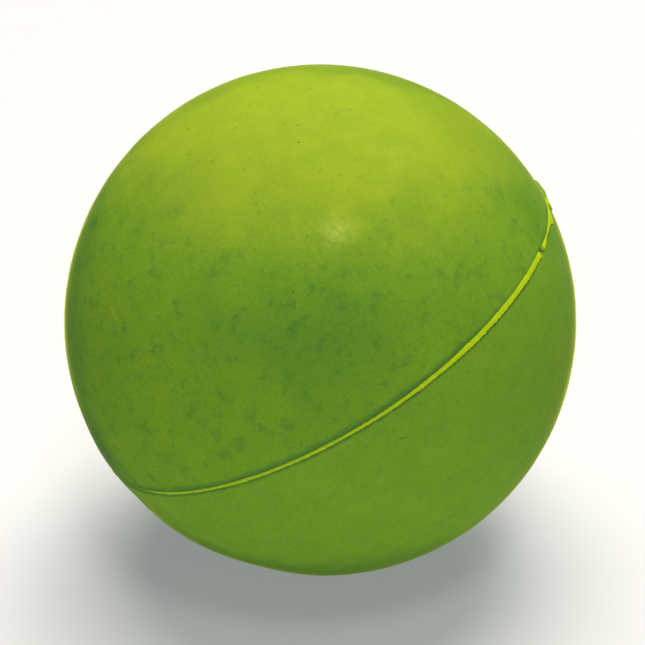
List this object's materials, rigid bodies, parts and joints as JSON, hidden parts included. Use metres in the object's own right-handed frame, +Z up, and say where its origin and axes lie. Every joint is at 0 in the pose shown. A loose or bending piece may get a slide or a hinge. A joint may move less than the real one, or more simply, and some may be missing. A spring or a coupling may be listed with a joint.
{
  "type": "rubber ball",
  "caption": "Small hollow rubber playground ball, moulded in halves bonded at the equator, with a raised, partly torn flash line; for bouncing and catching.",
  "frame": {"origin": "centre of the ball", "axes": "+Z up as the ball lies on the ground; +Y a diameter in the plane of the bonded equator; the moulding axis leans 30.1 degrees from +Z towards -X"},
  "size_m": [0.06, 0.0606, 0.06],
  "materials": {
    "upper_rubber": "satin moulded lime-green rubber with faint mottling, fine pits and scuffs",
    "lower_rubber": "satin moulded lime-green rubber with faint mottling, fine pits and scuffs",
    "flash_rubber": "thin yellow-green squeezed-out rubber, satin, ragged edges",
    "cement": "cured rubber cement, dull yellow-green",
    "plug_rubber": "soft uncured self-sealing rubber, matt grey-green"
  },
  "bodies": {
    "root": {"upper_half_shell": "upper_rubber", "lower_half_shell": "lower_rubber", "seam_flash": "flash_rubber", "bond_ring": "cement", "inflation_plug": "plug_rubber"}
  },
  "joints": []
}
